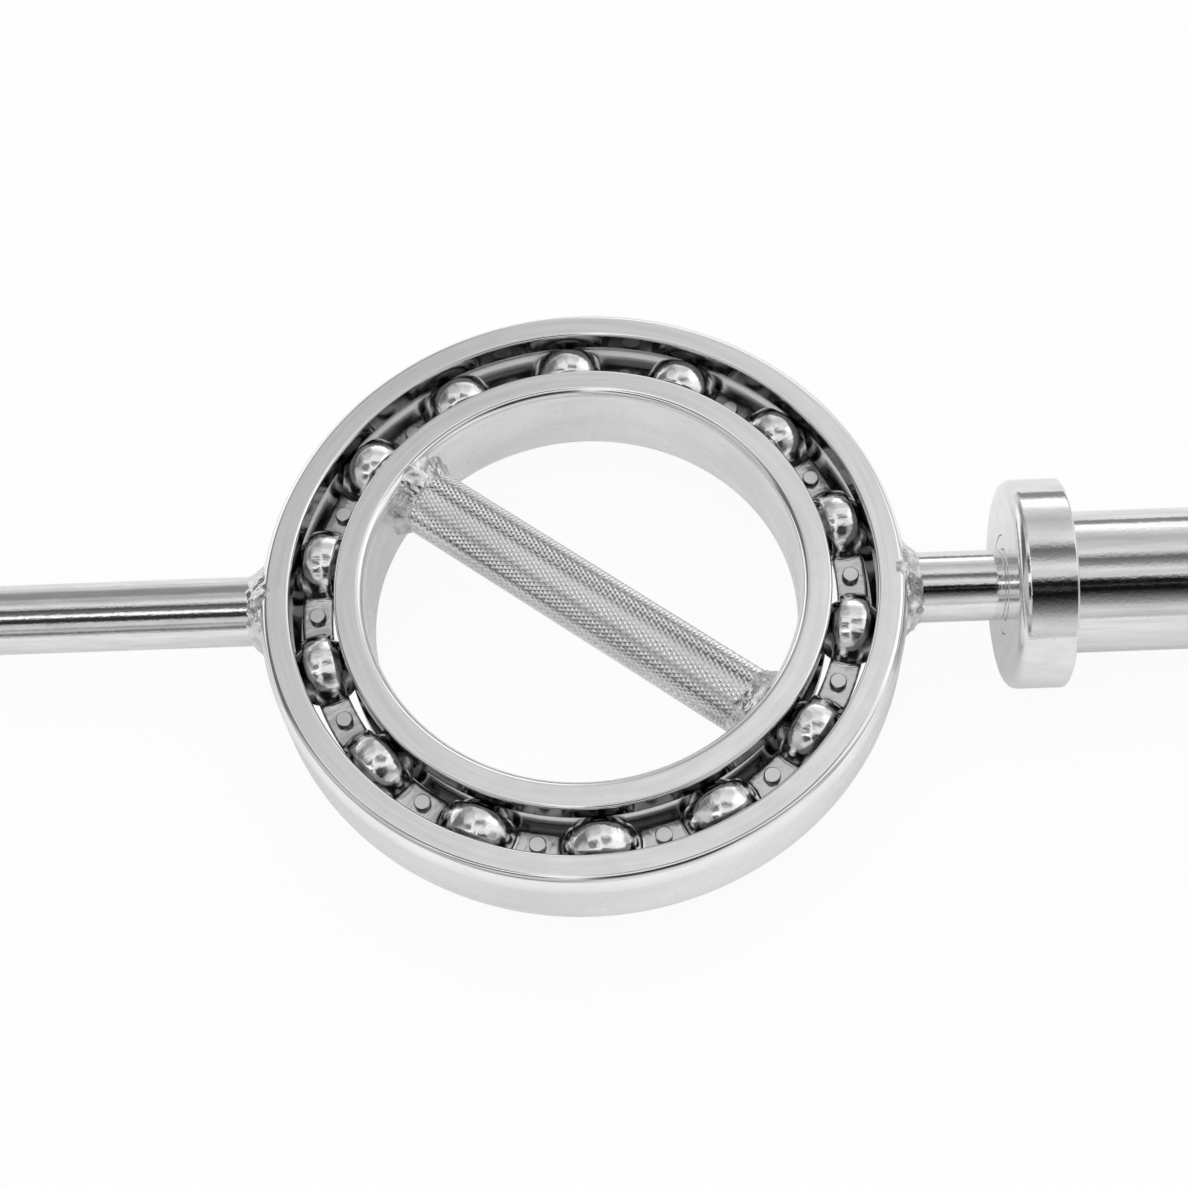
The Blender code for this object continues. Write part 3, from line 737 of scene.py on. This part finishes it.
def weld(name, place, foot, run, bar_r, leg, wall_r, outwards, body, finishes, seed):
    """Lumpy fillet weld round a bar, from the wall at foot to where it runs out on the bar.

    The seed moves the pattern of lumps, so that no two welds are alike.
    """
    inside = bar_r - WELD_OVERLAP
    into_wall = foot - math.copysign(WELD_OVERLAP, run)
    outline = [Vector((into_wall, inside)), Vector((into_wall, bar_r + leg))]
    for step in range(WELD_RUN_STEPS + 1):
        share = step / WELD_RUN_STEPS
        outline.append(Vector((foot + run * share, bar_r + leg * (1 - share) ** WELD_HOLLOW)))
    outline.append(Vector((foot + run, inside)))
    bm = turned(outline, WELD_STEPS)
    bm.normal_update()
    moves = {}
    for vert in bm.verts:
        reach = math.hypot(vert.co.x, vert.co.y)
        if reach < bar_r - TINY:
            continue
        share = max(0.0, min(1.0, (vert.co.z - foot) / run))
        swell = WELD_SWELL * noise.noise(vert.co / WELD_SWELL_SIZE + Vector((seed, seed, 0)))
        rough = roughness_at(vert.co, seed)
        swell += rough * WELD_LUMPS * lump(vert.co / WELD_LUMP_SIZE + Vector((seed, 0, 0)))
        swell += rough * WELD_RIPPLES * noise.noise(vert.co / WELD_RIPPLE_SIZE + Vector((0, seed, 0)))
        wander = noise.noise(vert.co / WELD_TOE_SIZE + Vector((0, 0, seed)))
        moves[vert] = vert.normal * swell * (1 - WELD_TOE_CALM * share)
        moves[vert].z += math.copysign(WELD_TOE_WANDER, run) * wander * share
    for vert, move in moves.items():
        vert.co += move
    for vert in bm.verts:
        share = max(0.0, min(1.0, (vert.co.z - foot) / run))
        vert.co.z += math.copysign(fall_back(wall_r, vert.co, outwards) * (1 - share), -run)
    piece(name, bm, place, [finishes["weld"]], body)


def fall_back(wall_r, spot, outwards):
    """How far a bar's end or weld reaches on at this spot to meet a ring's outer wall or its bore."""
    if outwards:
        return wall_drop(wall_r, spot.y) + corner_fall(spot.x, RIM_BREADTH, RIM_DEPTH)
    return corner_fall(spot.x, BORE_BREADTH, BORE_DEPTH) - wall_drop(wall_r, spot.y)


def bar_end(foot, wall_r, outwards, bm):
    """Shapes a bar's end to the wall that it meets."""
    for vert in bm.verts:
        if abs(vert.co.z) > foot - TINY:
            vert.co.z += math.copysign(fall_back(wall_r, vert.co, outwards), vert.co.z)


def centre_shaft(finishes):
    node = "centre_shaft"
    half_length = ring_centre("right").x - RING_R
    bm = turned(eased([
        (-half_length, 0, 0),
        (-half_length, SHAFT_R, 0),
        (half_length, SHAFT_R, 0),
        (half_length, 0, 0),
    ]), BAR_STEPS)
    bar_end(half_length, RING_R, True, bm)
    lying = Matrix.Rotation(math.pi / 2, 4, "Y")
    body = body_of(node)
    piece("shaft_bar", bm, lying, [finishes["bar"]], body, [node])
    for side, sign in SIDES.items():
        weld(f"{side}_shaft_weld", lying, sign * half_length, -sign * SHAFT_WELD_RUN,
             SHAFT_R, SHAFT_WELD_LEG, RING_R, True, body, finishes, seed=3.7 * (2 + sign))


def knurled_grip(side, finishes):
    """Round bar cut with two crossed sets of grooves. Its plain ends are inside the welds."""
    node = f"{side}_handle"
    rows = round(2 * KNURL_END / KNURL_PITCH)
    bm = bmesh.new()
    corners = []
    for row in range(rows + 1):
        along = -KNURL_END + 2 * KNURL_END * row / rows
        corners.append(bm.verts.new((GRIP_R - KNURL_DEPTH, 0, along)))
    for first, second in zip(corners, corners[1:]):
        bm.edges.new((first, second))
    geom = list(bm.verts) + list(bm.edges)
    bmesh.ops.spin(bm, geom=geom, axis=(0, 0, 1), angle=2 * math.pi, steps=KNURL_TEETH, use_merge=True)
    bmesh.ops.remove_doubles(bm, verts=bm.verts, dist=TINY)
    bmesh.ops.recalc_face_normals(bm, faces=bm.faces)
    if bm.faces[0].normal.dot(bm.faces[0].calc_center_median()) < 0:
        bmesh.ops.reverse_faces(bm, faces=bm.faces)
    squares = [edge for edge in bm.edges if len(edge.link_faces) == 2]
    bmesh.ops.poke(bm, faces=bm.faces)
    bmesh.ops.dissolve_edges(bm, edges=squares, use_verts=False)
    for vert in bm.verts:
        reach = math.hypot(vert.co.x, vert.co.y)
        vert.co.x *= (GRIP_R - KNURL_DEPTH) / reach
        vert.co.y *= (GRIP_R - KNURL_DEPTH) / reach
    diamonds = [face for face in bm.faces if len(face.verts) == 4]
    bmesh.ops.inset_individual(bm, faces=diamonds, thickness=KNURL_SLOPE, depth=KNURL_DEPTH,
                               use_even_offset=True)
    rims = [edge for edge in bm.edges if len(edge.link_faces) == 1]
    out = bmesh.ops.extrude_edge_only(bm, edges=rims)["geom"]
    for vert in [item for item in out if isinstance(item, bmesh.types.BMVert)]:
        vert.co.z = math.copysign(BORE_R - FIT_GAP, vert.co.z)
    bmesh.ops.holes_fill(bm, edges=[edge for edge in bm.edges if len(edge.link_faces) == 1])
    bar_end(BORE_R - FIT_GAP, BORE_R, False, bm)
    body = body_of(node)
    piece(f"{side}_knurled_grip", bm, grip_place(side), [finishes["knurl"]], body, [node])
    for end, sign in (("front", 1), ("rear", -1)):
        weld(f"{side}_{end}_grip_weld", grip_place(side), sign * BORE_R, -sign * GRIP_WELD_RUN,
             GRIP_R, GRIP_WELD_LEG, BORE_R, False, body, finishes, seed=5.1 * (3 + sign + 2 * SIDES[side]))


def stub(side, finishes):
    """Bar end that carries the sleeve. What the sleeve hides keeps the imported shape's steps."""
    node = f"{side}_spindle"
    end = reach_from_ring(node, max)
    shoulder = reach_from_ring(f"{side}_inner_thrust_washer", min) - RUN_GAP
    bm = turned(eased([
        (RING_R, 0, 0),
        (RING_R, SHAFT_R, 0),
        (shoulder, SHAFT_R, SHAFT_EASE / 2),
        (shoulder, JOURNAL_R, 0),
        (CLIP_GROOVE_START, JOURNAL_R, 0),
        (CLIP_GROOVE_START, CLIP_GROOVE_R, 0),
        (CLIP_GROOVE_END, CLIP_GROOVE_R, 0),
        (CLIP_GROOVE_END, JOURNAL_R, 0),
        (end, JOURNAL_R, SHAFT_EASE),
        (end, 0, 0),
    ]), BAR_STEPS)
    for vert in bm.verts:
        if vert.co.z < RING_R + TINY:
            vert.co.z -= fall_back(RING_R, vert.co, True)
    body = body_of(node)
    piece(f"{side}_stub_bar", bm, sleeve_place(side), [finishes["bar"]], body, [node])
    weld(f"{side}_stub_weld", sleeve_place(side), RING_R, SHAFT_WELD_RUN,
         SHAFT_R, SHAFT_WELD_LEG, RING_R, True, body, finishes, seed=11.3 + SIDES[side])


# Sleeve end


def sleeve(side, finishes):
    node = f"{side}_sleeve"
    bm = turned(eased([
        (SLEEVE_START, SLEEVE_BORE_R, 0),
        (SLEEVE_START, SLEEVE_R, 0),
        (SLEEVE_END, SLEEVE_R, SLEEVE_EASE),
        (SLEEVE_END, SLEEVE_BORE_R, END_EASE),
    ]), SLEEVE_STEPS)
    piece(f"{side}_sleeve_tube", bm, sleeve_place(side), [finishes["sleeve"]], body_of(node), [node])


def collar(side, finishes):
    """Flange with a round inner edge and a small rounded outer edge, whose face runs flat down to the
    sleeve.
    """
    node = f"{side}_sleeve_collar"
    bm = turned(eased([
        (COLLAR_START, COLLAR_BORE_R, BORE_EASE),
        (COLLAR_START, COLLAR_R, COLLAR_INNER_ROUND),
        (COLLAR_END, COLLAR_R, COLLAR_OUTER_ROUND),
        (COLLAR_END, SLEEVE_SEAT_R + FILLET_R, 0),
        (COLLAR_END, SLEEVE_SEAT_R, 0),
        (COLLAR_SEAT, SLEEVE_SEAT_R, 0),
        (COLLAR_SEAT, COLLAR_BORE_R, 0),
    ]), SLEEVE_STEPS)
    piece(f"{side}_collar", bm, sleeve_place(side), [finishes["collar"]], body_of(node), [node])


def bush(side, finishes):
    node = f"{side}_collar_bush"
    bm = turned(eased([
        (BUSH_START, BUSH_BORE_R, BUSH_MOUTH),
        (BUSH_START, BUSH_R, BORE_EASE),
        (BUSH_END, BUSH_R, 0),
        (BUSH_END, BUSH_BORE_R, 0),
    ]), BAR_STEPS)
    piece(f"{side}_face_bush", bm, sleeve_place(side), [finishes["bush"]], body_of(node), [node])


def end_cap(side, finishes):
    node = f"{side}_end_cap"
    bm = turned(eased([
        (CAP_START, 0, 0),
        (CAP_START, BUSH_R, CAP_EASE),
        (CAP_END, BUSH_R, CAP_EASE),
        (CAP_END, BUSH_R - CAP_RIM, CAP_EASE),
        (CAP_END - CAP_DISH, BUSH_R - CAP_RIM - CAP_DISH, CAP_EASE),
        (CAP_END - CAP_DISH, 0, 0),
    ]), SLEEVE_STEPS)
    piece(f"{side}_dished_cap", bm, sleeve_place(side), [finishes["cap"]], body_of(node), [node])


def hidden_pieces(side, finishes):
    """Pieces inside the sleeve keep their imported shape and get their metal."""
    metals = {"end_bush": "bronze", "inner_thrust_washer": "washer", "outer_thrust_washer": "washer",
              "retaining_ring": "spring"}
    for node, finish in metals.items():
        mesh = frame["nodes"][f"{side}_{node}"].data
        mesh.materials.clear()
        mesh.materials.append(finishes[finish])


# Studio


# The studio's light by its angle from straight up, through the front, in degrees.
# Straight ahead it has the gaps between its lamps, and the dark shape of the camera at about 35 degrees.
# These levels are not free choices. They follow the greys that the metal in the photograph shows for the
# directions that it mirrors there, read across the sleeve, shaft and stub and along the ring's corners.
# For a plain studio, give each list one level, such as ((0, 0.9),).
LIGHT_FAR_LEFT = (
    (-100, 0.95), (-70, 1.20), (-58, 0.80), (-48, 0.15), (-12, 0.14), (3, 0.40), (14, 0.60), (31, 0.55),
    (50, 0.50), (65, 0.30), (90, 0.80),
)
LIGHT_TO_THE_LEFT = (
    (-101, 0.92), (-94, 0.60), (-81, 0.80), (-71, 0.50), (-65, 0.34), (-50, 0.30), (-42, 0.34), (-35, 0.56),
    (-28, 0.50), (-21, 0.62), (-14, 0.84), (-9, 0.84), (-5, 0.60), (0, 0.14), (3, 0.08), (8, 0.16),
    (13, 0.18), (16, 0.36), (20, 1.30), (24, 1.50), (27, 0.40), (30, 0.06), (34, 0.04), (40, 0.03),
    (44, 0.16), (47, 0.62), (59, 0.74), (64, 0.38), (71, 0.62), (79, 0.14), (88, 0.60), (92, 0.78),
)
LIGHT_LEFT_OF_AHEAD = (
    (-101, 0.60), (-80, 0.50), (-60, 0.70), (-45, 0.45), (-30, 0.48), (-22, 0.70), (-15, 1.00), (0, 1.05),
    (20, 1.05), (35, 0.90), (50, 0.75), (65, 0.40), (80, 0.45), (92, 0.75),
)
LIGHT_AHEAD = (
    (-150, 0.50), (-100, 0.70), (-89, 0.30), (-80, 0.30), (-75, 1.30), (-66, 1.40), (-60, 0.85), (-45, 0.55),
    (-35, 0.66), (-30, 0.74), (-20, 0.88), (-14, 0.55), (-10, 0.20), (-7, 0.16), (0, 0.30), (5, 0.60),
    (11, 0.92), (16, 0.76), (21, 0.76), (24, 0.25), (27, 0.006), (32, 0.006), (35, 0.07), (38, 0.006),
    (42, 0.006), (46, 0.03), (52, 0.12), (60, 0.28), (69, 0.62), (78, 0.76), (88, 0.60), (92, 0.80),
)
LIGHT_TO_THE_RIGHT = (
    (-150, 0.22), (-105, 0.25), (-75, 0.42), (-50, 1.00), (-20, 1.30), (-8, 0.90), (0, 0.90), (10, 1.00),
    (20, 0.75), (28, 0.40), (36, 0.30), (44, 0.40), (55, 0.65), (62, 0.75), (80, 0.85), (92, 0.75),
)
LIGHT_FAR_RIGHT = (
    (-125, 0.20), (-93, 0.26), (-74, 0.42), (-40, 0.45), (-20, 0.75), (-6, 0.90), (20, 0.90), (43, 0.60),
    (60, 0.35), (85, 0.28), (100, 0.35), (120, 0.60),
)

# Where each part of the studio takes over from the one to its left: start, end and its lights.
# Places run from -1 at the far left to 1 at the far right.
LEFT_TO_RIGHT = (
    (-0.60, -0.42, LIGHT_TO_THE_LEFT),
    (-0.18, -0.11, LIGHT_LEFT_OF_AHEAD),
    (-0.08, 0.00, LIGHT_AHEAD),
    (0.40, 0.60, LIGHT_TO_THE_RIGHT),
    (0.83, 0.92, LIGHT_FAR_RIGHT),
)


def bands(tree, lean, lights):
    """One side of the studio, from its list of angles and lights."""
    share = add(tree, "ShaderNodeMapRange", {"Value": lean, "From Min": -math.pi, "From Max": math.pi})
    ramp = add(tree, "ShaderNodeValToRGB", {"Fac": share.outputs["Result"]})
    stops = ramp.color_ramp.elements
    stops.remove(stops[0])
    for number, (degrees, light) in enumerate(lights):
        place = (degrees + 180) / 360
        stop = stops[0] if number == 0 else stops.new(place)
        stop.position = place
        stop.color = (light, light, light, 1.0)
    return ramp.outputs["Color"]


def merge(tree, sideways, start, end, before, after):
    """Goes over from one part of the studio to the next one to its right."""
    links = {"Value": sideways, "From Min": start, "From Max": end}
    share = add(tree, "ShaderNodeMapRange", links, interpolation_type="SMOOTHSTEP")
    mix = add(tree, "ShaderNodeMix", {"Factor": share.outputs["Result"]}, data_type="RGBA")
    tree.links.new(before, mix.inputs["A"])
    tree.links.new(after, mix.inputs["B"])
    return mix.outputs["Result"]


def studio():
    """White surround with darker gaps between its lamps, which the chrome mirrors as bands."""
    world = bpy.data.worlds.new("white_studio")
    bpy.context.scene.world = world
    world.use_nodes = True
    tree = world.node_tree
    tree.nodes.clear()
    towards = add(tree, "ShaderNodeTexCoord").outputs["Generated"]
    parts = add(tree, "ShaderNodeSeparateXYZ", {"Vector": towards})
    sideways = parts.outputs["X"]
    front = add(tree, "ShaderNodeMath", {0: parts.outputs["Y"], 1: -1.0}, operation="MULTIPLY")
    lean = add(tree, "ShaderNodeMath", {0: front.outputs[0], 1: parts.outputs["Z"]}, operation="ARCTAN2")
    light = bands(tree, lean.outputs[0], LIGHT_FAR_LEFT)
    for start, end, lights in LEFT_TO_RIGHT:
        light = merge(tree, sideways, start, end, light, bands(tree, lean.outputs[0], lights))
    surround = add(tree, "ShaderNodeBackground", {"Color": light, "Strength": 1.0})
    white = add(tree, "ShaderNodeBackground", {"Color": (1, 1, 1, 1), "Strength": 1.0})
    ray = add(tree, "ShaderNodeLightPath")
    sides = {0: ray.outputs["Is Camera Ray"], 1: surround.outputs[0], 2: white.outputs[0]}
    mix = add(tree, "ShaderNodeMixShader", sides)
    add(tree, "ShaderNodeOutputWorld", {"Surface": mix.outputs[0]})
    ceiling = bpy.data.lights.new("soft_ceiling_lamp", "SUN")
    ceiling.energy = LAMP_STRENGTH
    ceiling.angle = LAMP_BREADTH
    lamp = bpy.data.objects.new("soft_ceiling_lamp", ceiling)
    lamp.rotation_euler = LAMP_TURN
    lamp.visible_glossy = False
    bpy.context.scene.collection.objects.link(lamp)


def floor():
    """Pale sheet under the bar. It glows a little to the eye, and keeps the bar's soft shadow."""
    material = bpy.data.materials.new("white_sheet")
    material.use_nodes = True
    tree = material.node_tree
    tree.nodes.clear()
    grain = clouds(tree, object_place(tree), 400.0)
    red = spread(tree, grain, FLOOR_WHITE - FLOOR_GRAIN, FLOOR_WHITE + FLOOR_GRAIN)
    shade = add(tree, "ShaderNodeCombineColor", {0: red, 1: FLOOR_WHITE, 2: FLOOR_WHITE})
    matt = add(tree, "ShaderNodeBsdfDiffuse", {"Color": shade.outputs[0]})
    glow = add(tree, "ShaderNodeEmission", {"Color": (1, 1, 1, 1), "Strength": 1.0})
    ray = add(tree, "ShaderNodeLightPath")
    eye = add(tree, "ShaderNodeMath", {0: ray.outputs["Is Camera Ray"], 1: FLOOR_GLOW_TO_EYE},
              operation="MULTIPLY")
    gloss = add(tree, "ShaderNodeMath", {0: ray.outputs["Is Glossy Ray"], 1: FLOOR_GLOW_IN_METAL},
                operation="MULTIPLY")
    seen = add(tree, "ShaderNodeMath", {0: eye.outputs[0], 1: ray.outputs["Is Transmission Ray"]},
               operation="MAXIMUM")
    share = add(tree, "ShaderNodeMath", {0: seen.outputs[0], 1: gloss.outputs[0]}, operation="MAXIMUM")
    mix = add(tree, "ShaderNodeMixShader", {0: share.outputs[0], 1: matt.outputs[0], 2: glow.outputs[0]})
    add(tree, "ShaderNodeOutputMaterial", {"Surface": mix.outputs[0]})
    bm = bmesh.new()
    bmesh.ops.create_grid(bm, x_segments=1, y_segments=1, size=FLOOR_SIZE / 2)
    bmesh.ops.translate(bm, verts=bm.verts, vec=(0, 0, FLOOR_Z))
    mesh = bpy.data.meshes.new("floor_sheet")
    bm.to_mesh(mesh)
    bm.free()
    mesh.materials.append(material)
    sheet = bpy.data.objects.new("floor_sheet", mesh)
    bpy.context.scene.collection.objects.link(sheet)


def camera():
    data = bpy.data.cameras.new("photo_camera")
    data.lens = CAMERA_LENS
    data.sensor_width = CAMERA_SENSOR
    data.clip_start = CAMERA_NEAR
    data.clip_end = CAMERA_FAR
    obj = bpy.data.objects.new("photo_camera", data)
    look = (CAMERA_LOOKS_AT - CAMERA_PLACE).to_track_quat("-Z", "Y").to_matrix()
    turn = look @ Matrix.Rotation(CAMERA_ROLL, 3, "Z")
    obj.matrix_world = Matrix.Translation(CAMERA_PLACE) @ turn.to_4x4()
    bpy.context.scene.collection.objects.link(obj)
    bpy.context.scene.camera = obj


camera()
studio()
floor()
bpy.context.scene.view_settings.view_transform = "Standard"
metals = make_finishes()
centre_shaft(metals)
for side in SIDES:
    outer_ring(side, metals)
    inner_ring(side, metals)
    balls(side, metals)
    cage_strip(side, "upper", metals)
    cage_strip(side, "lower", metals)
    rivets(side, metals)
    knurled_grip(side, metals)
    stub(side, metals)
    sleeve(side, metals)
    collar(side, metals)
    bush(side, metals)
    end_cap(side, metals)
    hidden_pieces(side, metals)
